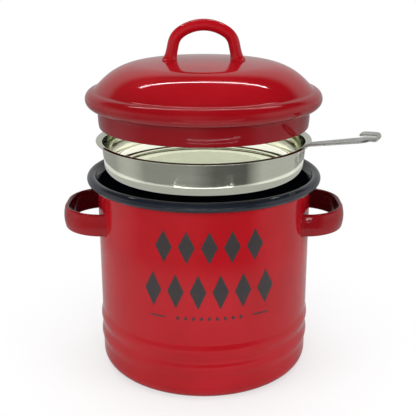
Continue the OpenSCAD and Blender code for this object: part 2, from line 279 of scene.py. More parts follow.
def lid_lining_outline():
    """The black lining under the dome, let a little into the lid's underside."""
    inner_r = COLLAR_R - COLLAR_T
    inner_z = flank_z(inner_r)
    return raised(
        dome_top(LID_T - 0.05) + [(inner_r, inner_z - 1.75)]
        + [(inner_r, inner_z - 2.3)] + dome_top(LID_T + 0.4)[::-1],
        LID_Z,
    )


def collar_outline():
    """The upright collar: a neck under the bead, a slightly bulged wall and a rounded lower edge."""
    top = BEAD_CENTRE[1] - BEAD_R
    edge = COLLAR_T / 2
    bulge_steps = 10
    wall = [
        (COLLAR_R - COLLAR_BULGE + COLLAR_BULGE * sin(pi * i / bulge_steps) ** 0.5,
         1.2 + (top - 0.6) * i / bulge_steps)
        for i in range(1, bulge_steps)
    ]
    return raised(
        arc((COLLAR_R - COLLAR_BULGE - edge, edge), edge, -180, 0, 8)
        + wall
        + [(COLLAR_R - 0.5, top + 0.9), (COLLAR_R - 0.5, top + 2.2)]
        + [(COLLAR_R - COLLAR_T - COLLAR_BULGE, top + 2.4)],
        LID_Z,
    )


# ---------------------------------------------------------------- modelling helpers
def start_point(name, place):
    """A new object of one vertex at a place in mm, left in edit mode with the vertex selected."""
    bpy.ops.object.select_all(action="DESELECT")
    bpy.ops.mesh.primitive_plane_add(size=MM)
    piece = bpy.context.object
    piece.name = name
    piece.data.name = name
    bpy.ops.object.mode_set(mode="EDIT")
    bpy.ops.mesh.select_all(action="SELECT")
    bpy.ops.mesh.merge(type="CENTER")
    bpy.ops.transform.translate(value=Vector(place) * MM)
    return piece


def extrude_to(step, scale=None, centre=None):
    """Extrude what is selected by a step in mm, and resize the new end about a centre."""
    bpy.ops.mesh.extrude_region_move(TRANSFORM_OT_translate={"value": Vector(step) * MM})
    if scale:
        bpy.ops.transform.resize(value=scale, center_override=Vector(centre) * MM)


def turn_to(centre, axis, angle, steps):
    """Spin what is selected about an axis through a centre in mm."""
    # With no window the operator turns the other way round
    bpy.ops.mesh.spin(steps=steps, angle=-angle, axis=axis, center=Vector(centre) * MM)


def draw_line(name, places):
    """A chain of edges through places in mm, left in edit mode."""
    piece = start_point(name, places[0])
    for here, after in zip(places, places[1:]):
        extrude_to(Vector(after) - Vector(here))
    return piece


def close_mesh():
    """Merge doubles, turn the faces outwards and leave edit mode."""
    bpy.ops.mesh.select_all(action="SELECT")
    bpy.ops.mesh.remove_doubles(threshold=WELD)
    bpy.ops.mesh.normals_make_consistent(inside=False)
    bpy.ops.object.mode_set(mode="OBJECT")


def pick(piece):
    """Make a piece the active one, and the only one selected."""
    bpy.ops.object.select_all(action="DESELECT")
    piece.select_set(True)
    bpy.context.view_layer.objects.active = piece


def smooth(piece):
    """Shade a piece smooth, except across its sharp edges."""
    pick(piece)
    bpy.ops.object.shade_smooth_by_angle(angle=radians(SMOOTH_ANGLE))


def lathe(name, outline):
    """Spin an outline of (radius, height) points in mm, closed or from axis to axis, about the axis."""
    on_axis = max(abs(outline[0][0]), abs(outline[-1][0])) < 0.001
    closed = outline if on_axis else outline + outline[:1]
    piece = draw_line(name, [(r, 0, z) for r, z in closed])
    bpy.ops.mesh.select_all(action="SELECT")
    bpy.ops.mesh.remove_doubles(threshold=WELD)
    bpy.ops.mesh.select_all(action="SELECT")
    bpy.ops.mesh.spin(steps=AROUND, angle=tau, center=(0, 0, 0), axis=(0, 0, 1))
    close_mesh()
    smooth(piece)
    return piece


def apply_modifier(piece, kind, **settings):
    """Add a modifier with its settings to a piece, and apply it."""
    pick(piece)
    bpy.ops.object.modifier_add(type=kind)
    modifier = piece.modifiers[-1]
    for key, value in settings.items():
        setattr(modifier, key, value)
    bpy.ops.object.modifier_apply(modifier=modifier.name)


def finish(piece, body, nodes, material):
    """Ride the piece on its body in place of its solids, and give it its finish."""
    piece.data.materials.clear()
    piece.data.materials.append(material)
    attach(piece, body)
    if nodes:
        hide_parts(*nodes)
    return piece


# ---------------------------------------------------------------- pieces
def strap_section():
    """Cross-section of the strap in (out, up): crowned outside, rolled edges, hollow inside."""
    half_h = STRAP_H / 2
    edge_r = STRAP_T / 2 - STRAP_CROWN / 2
    middle = half_h - edge_r
    crown_steps = 8
    ups = [middle * (2 * i / crown_steps - 1) for i in range(1, crown_steps)]
    outer = [(edge_r + STRAP_CROWN * (1 - (u / middle) ** 2) - STRAP_CROWN / 2, u) for u in ups]
    inner = [(-edge_r - STRAP_CROWN / 2 + STRAP_HOLLOW * (1 - (u / middle) ** 2), u) for u in ups[::-1]]
    top = arc((-STRAP_CROWN / 2, middle), edge_r, 0, 180, 10)
    bottom = arc((-STRAP_CROWN / 2, -middle), edge_r, 180, 360, 10)
    return outer + top + inner + bottom


def cut_to_wall(piece):
    """Trim a piece to a cylinder that lies inside the red wall's thickness."""
    bpy.ops.object.select_all(action="DESELECT")
    bpy.ops.mesh.primitive_cylinder_add(
        vertices=AROUND, radius=(WALL_R - WALL_T / 2) * MM, depth=CANISTER_H * MM,
        location=(0, 0, STRAP_Z * MM),
    )
    cutter = bpy.context.object
    apply_modifier(piece, "BOOLEAN", operation="DIFFERENCE", object=cutter)
    bpy.data.objects.remove(cutter)


def make_strap(name):
    """The right-hand loop: half of it drawn out and spun round its corner, then mirrored."""
    section = strap_section()
    corner_y = LOOP_LEG_Y - LOOP_CORNER_R
    corner_x = LOOP_OUTER_X - LOOP_CORNER_R
    places = [(LOOP_OUTER_X + u, 0, STRAP_Z + v) for u, v in section + section[:1]]
    piece = draw_line(name, places)
    bpy.ops.mesh.select_all(action="SELECT")
    bpy.ops.mesh.remove_doubles(threshold=WELD)
    bpy.ops.mesh.select_all(action="SELECT")
    extrude_to((0, corner_y, 0))
    turn_to((corner_x, corner_y, STRAP_Z), (0, 0, 1), pi / 2, 20)
    wall_x = sqrt(WALL_R ** 2 - LOOP_LEG_Y ** 2)
    x = wall_x + FLARE_RUN
    extrude_to((x - corner_x, 0, 0))
    for step, widen, heighten in STRAP_FLARE:
        x -= step
        extrude_to((-step, 0, 0), (1, widen, heighten), (x, LOOP_LEG_Y, STRAP_Z))
    extrude_to((-STRAP_SINK, 0, 0))
    bpy.ops.mesh.edge_face_add()
    close_mesh()
    apply_modifier(piece, "MIRROR", use_axis=(False, True, False), merge_threshold=WELD)
    cut_to_wall(piece)
    smooth(piece)
    return piece


def mirrored_copy(piece, name):
    """A copy on the other side of the axis, its faces turned outwards again."""
    pick(piece)
    bpy.ops.object.duplicate()
    copy = bpy.context.object
    copy.name = name
    bpy.ops.object.mode_set(mode="EDIT")
    bpy.ops.mesh.select_all(action="SELECT")
    bpy.ops.transform.resize(value=(-1, 1, 1), center_override=(0, 0, 0))
    close_mesh()
    smooth(copy)
    return copy


def make_screen(name):
    """The perforated floor: rows of hexagonal cells, each with a hole, inside a plain ring."""
    cell_r = HOLE_PITCH / sqrt(3)
    row_step = HOLE_PITCH * sqrt(3) / 2
    rows = int(SCREEN_R / row_step)
    columns = int(SCREEN_R / HOLE_PITCH) + 1
    bpy.ops.object.select_all(action="DESELECT")
    bpy.ops.mesh.primitive_circle_add(vertices=6, radius=cell_r * MM, fill_type="NGON")
    piece = bpy.context.object
    piece.name = name
    bpy.ops.object.mode_set(mode="EDIT")
    bpy.ops.mesh.select_all(action="SELECT")
    bpy.ops.mesh.inset(thickness=(cell_r - HOLE_R) * cos(pi / 6) * MM)
    bpy.ops.mesh.delete(type="FACE")
    bpy.ops.object.mode_set(mode="OBJECT")
    # Two cells, one of them half a pitch along in the next row, repeated both ways
    apply_modifier(
        piece, "ARRAY", count=2, use_relative_offset=False, use_constant_offset=True,
        constant_offset_displace=(HOLE_PITCH / 2 * MM, row_step * MM, 0),
    )
    apply_modifier(
        piece, "ARRAY", count=2 * columns, use_relative_offset=False, use_constant_offset=True,
        constant_offset_displace=(HOLE_PITCH * MM, 0, 0),
    )
    apply_modifier(
        piece, "ARRAY", count=rows, use_relative_offset=False, use_constant_offset=True,
        constant_offset_displace=(0, 2 * row_step * MM, 0),
    )
    trim_screen(piece, rows, columns, row_step)
    return piece


def cell_middle(x, y, row_step, rows):
    """Middle in mm of the cell nearest to a place in mm; every other row stands half a pitch along."""
    row = round(y / row_step)
    shift = 0.5 if (row + rows) % 2 else 0.0
    column = round(x / HOLE_PITCH - shift) + shift
    return column * HOLE_PITCH, row * row_step


def trim_screen(piece, rows, columns, row_step):
    """Centre the cells, keep those inside the floor, and join them to a plain ring round them."""
    keep_r = SCREEN_R - 0.8
    bpy.ops.object.mode_set(mode="EDIT")
    bpy.ops.mesh.select_all(action="SELECT")
    bpy.ops.mesh.remove_doubles(threshold=5 * WELD)
    bpy.ops.transform.translate(value=(-columns * HOLE_PITCH * MM, -rows * row_step * MM, 0))
    bpy.ops.mesh.select_all(action="DESELECT")
    bpy.ops.object.mode_set(mode="OBJECT")
    for face in piece.data.polygons:
        x, y = cell_middle(face.center.x / MM, face.center.y / MM, row_step, rows)
        face.select = hypot(x, y) > keep_r - HOLE_PITCH
    bpy.ops.object.mode_set(mode="EDIT")
    bpy.ops.mesh.delete(type="FACE")
    bpy.ops.object.mode_set(mode="OBJECT")
    rim = boundary_outside_holes(piece, row_step, rows)
    for edge in piece.data.edges:
        edge.select = edge.index in rim
    bpy.ops.object.mode_set(mode="EDIT")
    bpy.ops.mesh.select_mode(type="EDGE")
    bpy.ops.object.vertex_group_add()
    bpy.ops.object.vertex_group_assign()
    bpy.ops.mesh.primitive_circle_add(vertices=AROUND, radius=(SCREEN_R + 0.2) * MM)
    bpy.ops.object.vertex_group_select()
    bpy.ops.mesh.fill()
    bpy.ops.object.vertex_group_remove(all=True)
    bpy.ops.mesh.select_mode(type="VERT")
    bpy.ops.mesh.select_all(action="SELECT")
    bpy.ops.mesh.normals_make_consistent(inside=False)
    bpy.ops.transform.translate(value=(0, 0, (SCREEN_Z + SHEET_T / 2) * MM))
    bpy.ops.object.mode_set(mode="OBJECT")
    apply_modifier(piece, "SOLIDIFY", thickness=SHEET_T * MM, offset=0)
    smooth(piece)


def boundary_outside_holes(piece, row_step, rows):
    """Edges with one face whose middle lies further out than any hole's edge does."""
    faces_on = {}
    for face in piece.data.polygons:
        for key in face.edge_keys:
            faces_on[key] = faces_on.get(key, 0) + 1
    rim = set()
    for edge in piece.data.edges:
        if faces_on.get(edge.key, 0) != 1:
            continue
        ends = [piece.data.vertices[v].co / MM for v in edge.vertices]
        middle = (ends[0] + ends[1]) / 2
        x, y = cell_middle(middle.x, middle.y, row_step, rows)
        if hypot(middle.x - x, middle.y - y) > HOLE_R * 1.05:
            rim.add(edge.index)
    return rim


def bar_height(r):
    """Middle of the bar's thickness above the flange, beyond the rim's crown."""
    over_rim = CANISTER_H - (FLANGE_TOP_Z - STRAINER_RAISE) + BAR_CLEAR
    return over_rim + (r - ROLL_CENTRE[0]) * tan(BAR_TILT) + BAR_T / 2


def make_bar(name):
    """The strainer's flat handle: a pressed strip that steps over the rim and ends in a folded hook."""
    across = [i / 8 for i in range(-8, 9)]
    root_r = COLLAR_R + 0.3
    rise_r = (FLANGE_R + ROLL_CENTRE[0]) / 2
    root_half = BAR_ROOT_W / 2
    # Each station is (radius, height above the flange, half width, depth of the groove)
    stations = [
        (root_r, BAR_T / 2, root_half, GROOVE_MIN),
        (FLANGE_R - 0.3, BAR_T / 2, root_half, GROOVE_MIN),
        (FLANGE_R + 0.2, BAR_T / 2 + 0.25, root_half, GROOVE_MIN),
        (rise_r - 0.2, bar_height(rise_r) - 0.3, root_half, GROOVE_MIN),
        (rise_r + 0.5, bar_height(rise_r + 0.5), root_half + 0.02, GROOVE_MIN),
    ]
    end_half = BAR_END_W / 2
    end_centre = BAR_END_R - end_half
    groove_from, groove_to = RIM_R + 7.0, end_centre + 1.0
    runs = 26
    for i in range(1, runs + 1):
        r = rise_r + 0.5 + (end_centre - rise_r - 0.5) * i / runs
        half = root_half + (end_half - root_half) * (r - rise_r) / (end_centre - rise_r)
        share = min(max((r - groove_from) / 4.0, 0), max((groove_to - r) / 4.0, 0), 1)
        stations.append((r, bar_height(r), half, GROOVE_MIN + GROOVE_DEPTH * share))
    for i in range(1, 12):
        angle = radians(i * 6.0)
        r = end_centre + end_half * sin(angle)
        stations.append((r, bar_height(r), max(end_half * cos(angle), HOOK_W / 2), GROOVE_MIN))
    stations.append((BAR_END_R, bar_height(BAR_END_R), HOOK_W / 2, GROOVE_MIN))
    bend = (BAR_END_R + HOOK_REACH, bar_height(BAR_END_R) + BAR_T / 2 + HOOK_R)
    for x, z in arc(bend, HOOK_R + BAR_T / 2, -90, 90, 14):
        stations.append((x, z, HOOK_W / 2, GROOVE_MIN))
    for back, drop, half in TONGUE:
        stations.append((bend[0] - back, bend[1] + HOOK_R + BAR_T / 2 + drop, half, GROOVE_MIN))
    first = stations[0]
    piece = draw_line(name, [
        (first[0], first[2] * v,
         FLANGE_TOP_Z + first[1] - GROOVE_MIN * (cos(min(abs(v) / 0.45, 1) * pi) + 1) / 2)
        for v in across
    ])
    bpy.ops.mesh.select_all(action="SELECT")
    for here, after in zip(stations, stations[1:]):
        centre = (after[0], 0, FLANGE_TOP_Z + after[1])
        extrude_to(
            (after[0] - here[0], 0, after[1] - here[1]), (1, after[2] / here[2], after[3] / here[3]), centre,
        )
    bpy.ops.mesh.select_all(action="SELECT")
    bpy.ops.mesh.normals_make_consistent(inside=False)
    bpy.ops.object.mode_set(mode="OBJECT")
    apply_modifier(piece, "SOLIDIFY", thickness=BAR_T * MM, offset=0, use_even_offset=True)
    apply_modifier(piece, "BEVEL", width=0.3 * MM, segments=3, limit_method="ANGLE", angle_limit=radians(50))
    piece.rotation_euler.z = HANDLE_TURN
    bpy.ops.object.transform_apply(location=True, rotation=True, scale=True)
    smooth(piece)
    return piece


def make_arch(name):
    """The lid's grip: a rod section spun round half the arch, drawn down the leg, and mirrored."""
    top_centre_z = GRIP_TOP_Z - ARCH_TOP_R
    reach = ARCH_TOP_R - ARCH_SIDE_R
    side_centre = (reach * sin(ARCH_TOP_ANGLE), top_centre_z + reach * cos(ARCH_TOP_ANGLE))
    leg_top = (side_centre[0] + ARCH_SIDE_R * cos(LEG_SPLAY), side_centre[1] + ARCH_SIDE_R * sin(LEG_SPLAY))
    section = arc((0, GRIP_TOP_Z + LID_Z), ROD_R, 0, 360, 32)
    piece = draw_line(name, [(0, y, z) for y, z in section])
    bpy.ops.mesh.select_all(action="SELECT")
    bpy.ops.mesh.remove_doubles(threshold=WELD)
    bpy.ops.mesh.select_all(action="SELECT")
    turn_to((0, 0, top_centre_z + LID_Z), (0, 1, 0), ARCH_TOP_ANGLE, 16)
    turn_to(
        (side_centre[0], 0, side_centre[1] + LID_Z), (0, 1, 0),
        pi / 2 - ARCH_TOP_ANGLE - LEG_SPLAY, 16,
    )
    along = Vector((sin(LEG_SPLAY), 0, -cos(LEG_SPLAY)))
    at = Vector((leg_top[0], 0, leg_top[1] + LID_Z))
    foot_z = LID_H - FOOT_SINK + LID_Z
    run = (at.z - foot_z) / cos(LEG_SPLAY)
    radius = ROD_R
    for share, new_radius in LEG_FLARE:
        target = Vector((leg_top[0], 0, leg_top[1] + LID_Z)) + along * run * share
        growth = new_radius / radius
        extrude_to(target - at, (growth,) * 3, target)
        at, radius = target, new_radius
    extrude_to((0, 0, -FOOT_SINK), (1.04, 1.04, 0), at - Vector((0, 0, FOOT_SINK)))
    bpy.ops.mesh.edge_face_add()
    close_mesh()
    apply_modifier(piece, "MIRROR", use_axis=(True, False, False), merge_threshold=WELD)
    smooth(piece)
    return piece


def make_print(name, wall):
    """Plain black ornament on the front: two rows of tall lozenges over a ruled row of small ones."""
    front_y = -(WALL_R + 10.0)
    parts = []
    for count, z, width, height, apart in ORNAMENT_ROWS:
        for i in range(count):
            x = ORNAMENT_X + (i - (count - 1) / 2) * apart
            parts.append(flat_lozenge(x, front_y, z, width, height))
    for side in (-1, 1):
        parts.append(flat_rule(ORNAMENT_X + side * RULE_X, front_y, ORNAMENT_ROWS[-1][1], *RULE_SIZE))
    bpy.ops.object.select_all(action="DESELECT")
    for part in parts:
        part.select_set(True)
    bpy.context.view_layer.objects.active = parts[0]
    bpy.ops.object.join()
    piece = bpy.context.object
    piece.name = name
    bpy.ops.object.transform_apply(location=True, rotation=True, scale=True)
    apply_modifier(
        piece, "SHRINKWRAP", target=wall, wrap_method="PROJECT", wrap_mode="ABOVE_SURFACE",
        use_project_x=False, use_project_y=True, use_project_z=False,
        use_positive_direction=True, use_negative_direction=False, offset=PRINT_T * MM,
    )
    apply_modifier(piece, "SOLIDIFY", thickness=PRINT_T * MM, offset=0)
    smooth(piece)
    return piece


def stand_up(x, y, z, width, height, cuts):
    """Size the flat shape just added, divide it for wrapping, and set it in its place."""
    sheet = bpy.context.object
    bpy.ops.object.transform_apply(location=True, rotation=True, scale=True)
    bpy.ops.object.mode_set(mode="EDIT")
    bpy.ops.mesh.select_all(action="SELECT")
    bpy.ops.transform.resize(value=(width, 1, height), center_override=(0, 0, 0))
    bpy.ops.mesh.subdivide(number_cuts=cuts)
    bpy.ops.transform.translate(value=Vector((x, y, z)) * MM)
    bpy.ops.object.mode_set(mode="OBJECT")
    return sheet


def flat_lozenge(x, y, z, width, height):
    """A lozenge: a square sheet stood on its corner and drawn out tall."""
    bpy.ops.object.select_all(action="DESELECT")
    bpy.ops.mesh.primitive_circle_add(
        vertices=4, radius=MM / 2, fill_type="NGON", rotation=(pi / 2, 0, 0),
    )
    return stand_up(x, y, z, width, height, 7)


def flat_rule(x, y, z, width, height):
    """A short level rule."""
    bpy.ops.object.select_all(action="DESELECT")
    bpy.ops.mesh.primitive_plane_add(size=MM, rotation=(pi / 2, 0, 0))
    return stand_up(x, y, z, width, height, 9)


# ---------------------------------------------------------------- finishes
def new_group(name, inputs, outputs):
    """A node group with named sockets, each given as (name, kind, starting value)."""
    group = bpy.data.node_groups.new(name, "ShaderNodeTree")
    for socket_name, kind, value in inputs:
        socket = group.interface.new_socket(socket_name, in_out="INPUT", socket_type=kind)
        socket.default_value = value
    for socket_name, kind in outputs:
        group.interface.new_socket(socket_name, in_out="OUTPUT", socket_type=kind)
    return group, group.nodes.new("NodeGroupInput"), group.nodes.new("NodeGroupOutput")


def add_node(tree, kind, settings=None, values=None, links=None):
    """A node with its settings, its sockets' constant values, and links into its sockets."""
    node = tree.nodes.new(kind)
    for key, value in (settings or {}).items():
        setattr(node, key, value)
    for key, value in (values or {}).items():
        node.inputs[key].default_value = value
    for key, source in (links or {}).items():
        tree.links.new(source, node.inputs[key])
    return node


def ripple_group():
    """The slight unevenness of a fired or polished surface, as a normal."""
    group, given, out = new_group(
        "surface_ripple",
        [("Size", "NodeSocketFloat", 60.0), ("Fine Size", "NodeSocketFloat", 700.0),
         ("Depth", "NodeSocketFloat", 0.1)],
        [("Normal", "NodeSocketVector")],
    )
    place = add_node(group, "ShaderNodeTexCoord")
    broad = add_node(
        group, "ShaderNodeTexNoise", values={"Detail": 1.5, "Roughness": 0.4},
        links={"Vector": place.outputs["Object"], "Scale": given.outputs["Size"]},
    )
    fine = add_node(
        group, "ShaderNodeTexNoise", values={"Detail": 1.0},
        links={"Vector": place.outputs["Object"], "Scale": given.outputs["Fine Size"]},
    )
    both = add_node(
        group, "ShaderNodeMath", {"operation": "MULTIPLY_ADD"}, {1: 0.12},
        {0: fine.outputs["Fac"], 2: broad.outputs["Fac"]},
    )
    bump = add_node(
        group, "ShaderNodeBump", values={"Distance": 0.0006},
        links={"Height": both.outputs[0], "Strength": given.outputs["Depth"]},
    )
    group.links.new(bump.outputs["Normal"], out.inputs["Normal"])
    return group


def glaze_group():
    """Glaze colour: deeper where it pooled, paler where it ran thin, with a few dark specks."""
    group, given, out = new_group(
        "glaze_colour",
        [("Full", "NodeSocketColor", (1, 1, 1, 1)), ("Deep", "NodeSocketColor", (0, 0, 0, 1)),
         ("Speck", "NodeSocketColor", (0, 0, 0, 1)), ("Size", "NodeSocketFloat", 20.0)],
        [("Colour", "NodeSocketColor"), ("Mask", "NodeSocketFloat")],
    )
    place = add_node(group, "ShaderNodeTexCoord")
    clouds = add_node(
        group, "ShaderNodeTexNoise", values={"Detail": 3.0, "Roughness": 0.5},
        links={"Vector": place.outputs["Object"], "Scale": given.outputs["Size"]},
    )
    spread = add_node(
        group, "ShaderNodeMapRange",
        values={"From Min": 0.35, "From Max": 0.7}, links={"Value": clouds.outputs["Fac"]},
    )
    tone = add_node(
        group, "ShaderNodeMix", {"data_type": "RGBA"},
        links={"Factor": spread.outputs["Result"], "A": given.outputs["Deep"], "B": given.outputs["Full"]},
    )
    cells = add_node(
        group, "ShaderNodeTexVoronoi", values={"Scale": 260.0, "Randomness": 1.0},
        links={"Vector": place.outputs["Object"]},
    )
    speck = add_node(
        group, "ShaderNodeMapRange",
        values={"From Min": 0.045, "From Max": 0.07, "To Min": 0.35, "To Max": 0.0},
        links={"Value": cells.outputs["Distance"]},
    )
    colour = add_node(
        group, "ShaderNodeMix", {"data_type": "RGBA"},
        links={"Factor": speck.outputs["Result"], "B": given.outputs["Speck"]},
    )
    group.links.new(tone.outputs["Result"], colour.inputs[6])
    group.links.new(colour.outputs["Result"], out.inputs["Colour"])
    group.links.new(spread.outputs["Result"], out.inputs["Mask"])
    return group


def height_group():
    """Where a point lies between two heights, as a mask that is 1 at the lower one; it lays painted shade low
    on the lid.
    """
    group, given, out = new_group(
        "height_painted_shade", [("Low", "NodeSocketFloat", 0.0), ("High", "NodeSocketFloat", 1.0)],
        [("Mask", "NodeSocketFloat")],
    )
    place = add_node(group, "ShaderNodeTexCoord")
    parts = add_node(group, "ShaderNodeSeparateXYZ", links={0: place.outputs["Object"]})
    mask = add_node(
        group, "ShaderNodeMapRange", {"interpolation_type": "SMOOTHSTEP"}, {"To Min": 1.0, "To Max": 0.0},
        {"Value": parts.outputs["Z"], "From Min": given.outputs["Low"], "From Max": given.outputs["High"]},
    )
    group.links.new(mask.outputs["Result"], out.inputs["Mask"])
    return group


def loop_group():
    """The inner face of the strap loops, as a mask for painted shade: nearer the loop's middle than its
    centre line.
    """
    group, _, out = new_group("loop_inside_painted_shade", [], [("Mask", "NodeSocketFloat")])
    place = add_node(group, "ShaderNodeTexCoord")
    size = add_node(
        group, "ShaderNodeVectorMath", {"operation": "ABSOLUTE"}, links={0: place.outputs["Object"]},
    )
    offset = add_node(
        group, "ShaderNodeVectorMath", {"operation": "SUBTRACT"}, links={0: size.outputs["Vector"]},
    )
    offset.inputs[1].default_value = (
        (LOOP_OUTER_X - LOOP_CORNER_R) * MM, (LOOP_LEG_Y - LOOP_CORNER_R) * MM, 1.0,
    )
    corner = add_node(
        group, "ShaderNodeVectorMath", {"operation": "MAXIMUM"}, links={0: offset.outputs["Vector"]},
    )
    corner.inputs[1].default_value = (0.0, 0.0, 0.0)
    length = add_node(
        group, "ShaderNodeVectorMath", {"operation": "LENGTH"}, links={0: corner.outputs["Vector"]},
    )
    mask = add_node(
        group, "ShaderNodeMapRange", {"interpolation_type": "SMOOTHSTEP"},
        {"From Min": (LOOP_CORNER_R - 1.2) * MM, "From Max": (LOOP_CORNER_R + 0.4) * MM,
         "To Min": 1.0, "To Max": 0.0},
        {"Value": length.outputs["Value"]},
    )
    group.links.new(mask.outputs["Result"], out.inputs["Mask"])
    return group


def rubbed_group():
    """Fine rubbing marks and finger haze on a surface, as a mask."""
    group, given, out = new_group(
        "rubbed_marks",
        [("Stretch", "NodeSocketVector", (1.0, 1.0, 1.0)), ("Size", "NodeSocketFloat", 120.0)],
        [("Mask", "NodeSocketFloat")],
    )
    place = add_node(group, "ShaderNodeTexCoord")
    drawn = add_node(
        group, "ShaderNodeVectorMath", {"operation": "MULTIPLY"},
        links={0: place.outputs["Object"], 1: given.outputs["Stretch"]},
    )
    marks = add_node(
        group, "ShaderNodeTexNoise", values={"Detail": 5.0, "Roughness": 0.65},
        links={"Vector": drawn.outputs["Vector"], "Scale": given.outputs["Size"]},
    )
    group.links.new(marks.outputs["Fac"], out.inputs["Mask"])
    return group


def place_group(tree, group, values):
    """A shared group's node in a tree, with its inputs' values."""
    node = tree.nodes.new("ShaderNodeGroup")
    node.node_tree = group
    for key, value in values.items():
        node.inputs[key].default_value = value
    return node


def start_material(name):
    """A new material's node tree and its Principled shader."""
    material = bpy.data.materials.new(name)
    material.use_nodes = True
    tree = material.node_tree
    return material, tree, tree.nodes["Principled BSDF"]


def roughness_from(tree, shader, mask, low, high):
    """Let a mask move the roughness between two values."""
    spread = add_node(
        tree, "ShaderNodeMapRange", values={"From Min": 0.3, "From Max": 0.7, "To Min": low, "To Max": high},
        links={"Value": mask},
    )
    tree.links.new(spread.outputs["Result"], shader.inputs["Roughness"])


def enamel(name, full, deep, speck, rough, ripple, ior=1.5, shade=None):
    """Fired glass enamel with a ripple.

    rough is (least, most), ripple is (size, depth), and shade is (mask group, its inputs, colour) for a
    part given painted shade.
    """
    material, tree, shader = start_material(name)
    glaze = place_group(tree, GLAZE, {"Full": full, "Deep": deep, "Speck": speck, "Size": 26.0})
    wave = place_group(tree, RIPPLE, {"Size": ripple[0], "Fine Size": 520.0, "Depth": ripple[1]})
    colour = glaze.outputs["Colour"]
    if shade:
        # Painted shade: a darker colour mixed in where the mask says shade falls
        mask = place_group(tree, shade[0], shade[1])
        tone = add_node(tree, "ShaderNodeMix", {"data_type": "RGBA"}, links={"Factor": mask.outputs["Mask"]})
        tree.links.new(colour, tone.inputs[6])
        tone.inputs[7].default_value = shade[2]
        colour = tone.outputs[2]
    tree.links.new(colour, shader.inputs["Base Color"])
    tree.links.new(wave.outputs["Normal"], shader.inputs["Normal"])
    roughness_from(tree, shader, glaze.outputs["Mask"], rough[0], rough[1])
    shader.inputs["IOR"].default_value = ior
    return material


def steel(name, colour, rough, stretch, mark_size, ripple):
    """Stainless steel with drawn marks that catch the light, and a slightly wavy sheet.

    rough is (least, most), ripple is (size, fine size, depth).
    """
    material, tree, shader = start_material(name)
    marks = place_group(tree, RUBBED, {"Stretch": stretch, "Size": mark_size})
    wave = place_group(tree, RIPPLE, {"Size": ripple[0], "Fine Size": ripple[1], "Depth": ripple[2]})
    tone = add_node(
        tree, "ShaderNodeMix", {"data_type": "RGBA"}, links={"Factor": marks.outputs["Mask"]},
    )
    tone.inputs[6].default_value = tuple(0.86 * c for c in colour) + (1,)
    tone.inputs[7].default_value = tuple(colour) + (1,)
    tree.links.new(tone.outputs[2], shader.inputs["Base Color"])
    tree.links.new(wave.outputs["Normal"], shader.inputs["Normal"])
    roughness_from(tree, shader, marks.outputs["Mask"], rough[0], rough[1])
    shader.inputs["Metallic"].default_value = 1.0
    return material


def printed_ink(name):
    """Black print on the enamel, worn thin in small flecks."""
    material, tree, shader = start_material(name)
    marks = place_group(tree, RUBBED, {"Stretch": (1.0, 1.0, 1.0), "Size": 420.0})
    worn = add_node(
        tree, "ShaderNodeMapRange",
        values={"From Min": 0.62, "From Max": 0.7, "To Min": 0.0, "To Max": 0.5},
        links={"Value": marks.outputs["Mask"]},
    )
    tone = add_node(tree, "ShaderNodeMix", {"data_type": "RGBA"}, links={"Factor": worn.outputs["Result"]})
    tone.inputs[6].default_value = (0.022, 0.018, 0.019, 1)
    tone.inputs[7].default_value = (0.16, 0.02, 0.025, 1)
    tree.links.new(tone.outputs[2], shader.inputs["Base Color"])
    shader.inputs["Roughness"].default_value = 0.42
    shader.inputs["Coat Weight"].default_value = 0.25
    shader.inputs["Coat Roughness"].default_value = 0.12
    return material


def studio_group():
    """How bright the studio is in a direction: panels around, bright low down behind, dark overhead."""
    group, given, out = new_group(
        "studio_brightness", [("Direction", "NodeSocketVector", (0.0, 0.0, 0.0))],
        [("Value", "NodeSocketFloat")],
    )
    parts = add_node(group, "ShaderNodeSeparateXYZ", links={0: given.outputs["Direction"]})
    across = add_node(
        group, "ShaderNodeMapRange", values={"From Min": -1.0, "From Max": 1.0},
        links={"Value": parts.outputs["X"]},
    )
    panels = add_node(group, "ShaderNodeValToRGB", links={0: across.outputs[0]})
    # The ramp begins with a stop at each end
    stops = panels.color_ramp.elements
    for x, brightness in PANELS:
        stop = stops[0] if x == -1 else stops[-1] if x == 1 else stops.new((x + 1) / 2)
        stop.color = (brightness, brightness, brightness, 1)
    low = add_node(
        group, "ShaderNodeMapRange", {"interpolation_type": "SMOOTHSTEP"},
        {"From Min": 0.2, "From Max": 0.6, "To Min": 1.0, "To Max": 0.2}, {"Value": parts.outputs["Z"]},
    )
    aside = add_node(
        group, "ShaderNodeMath", {"operation": "MULTIPLY"}, links={0: panels.outputs[0], 1: low.outputs[0]},
    )
    # Behind the object, the lower the brighter
    back = add_node(
        group, "ShaderNodeMath", {"operation": "SUBTRACT"},
        links={0: parts.outputs["Y"], 1: parts.outputs["Z"]},
    )
    behind = add_node(
        group, "ShaderNodeMapRange", {"interpolation_type": "SMOOTHSTEP"},
        {"From Min": -0.1, "From Max": 0.25, "To Min": 0.0, "To Max": 0.5}, {"Value": back.outputs[0]},
    )
    both = add_node(
        group, "ShaderNodeMath", {"operation": "MAXIMUM"}, links={0: aside.outputs[0], 1: behind.outputs[0]},
    )
    group.links.new(both.outputs[0], out.inputs["Value"])
    return group


